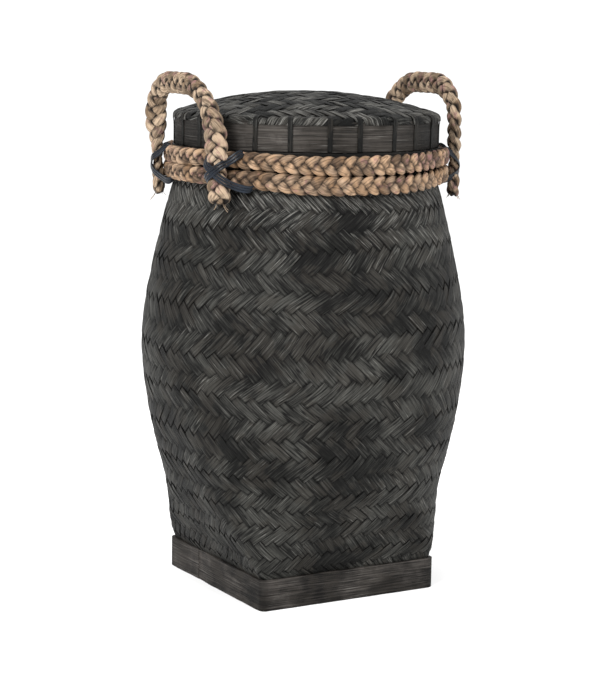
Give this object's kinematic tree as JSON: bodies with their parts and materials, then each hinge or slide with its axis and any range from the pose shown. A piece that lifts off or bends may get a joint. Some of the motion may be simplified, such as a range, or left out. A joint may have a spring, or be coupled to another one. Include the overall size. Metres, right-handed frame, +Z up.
{
  "type": "lidded woven basket",
  "caption": "Tall lidded storage basket of black woven bamboo, square foot and round mouth, with braided rope at the neck and rope loop handles.",
  "frame": {"origin": "middle of the square foot, on the floor", "axes": "+Z up; +X towards the right handle; -Y towards the front of the foot"},
  "size_m": [0.36, 0.36, 0.5701],
  "materials": {
    "woven_bamboo": "black stained split bamboo, matt, with a faint sheen along the fibres",
    "bamboo_slat": "brown-black stained bamboo slat, fine straight grain",
    "binding_strip": "black split bamboo strip",
    "neck_rope": "tan plant fibre braid, dry",
    "handle_rope": "pale tan plant fibre braid, dry",
    "tie_strip": "blue-black flat strip, satin"
  },
  "bodies": {
    "basket": {"woven_wall": "woven_bamboo", "woven_floor": "woven_bamboo", "base_hoop": "bamboo_slat", "floor_brace_upper": "bamboo_slat", "floor_brace_lower": "bamboo_slat", "neck_hoop": "bamboo_slat", "mouth_collar": "bamboo_slat", "neck_rope_upper": "neck_rope", "neck_rope_lower": "neck_rope", "left_front_tail": "handle_rope", "left_front_lashing": "tie_strip", "left_rear_tail": "handle_rope", "left_rear_lashing": "tie_strip", "right_front_tail": "handle_rope", "right_front_lashing": "tie_strip", "right_rear_tail": "handle_rope", "right_rear_lashing": "tie_strip"},
    "lid": {"lid_weave": "woven_bamboo", "lid_hoop": "bamboo_slat", "lid_inner_hoop": "bamboo_slat", "lid_bindings": "binding_strip"},
    "left_handle": {"left_handle": "handle_rope"},
    "right_handle": {"right_handle": "handle_rope"}
  },
  "joints": [
    {"name": "lid_lift", "type": "slide", "parent": "basket", "child": "lid", "axis": [0, 0, 1], "range_m": [0, 0.12]},
    {"name": "right_handle_fold", "type": "hinge", "parent": "basket", "child": "right_handle", "pos_m": [0.15149, 0, 0.49975], "axis": [0, 1, 0], "range_deg": [0, 70], "stiffness_Nm_per_rad": 0.5},
    {"name": "left_handle_fold", "type": "hinge", "parent": "basket", "child": "left_handle", "pos_m": [-0.15149, 0, 0.49975], "axis": [0, -1, 0], "range_deg": [0, 70], "stiffness_Nm_per_rad": 0.5}
  ]
}
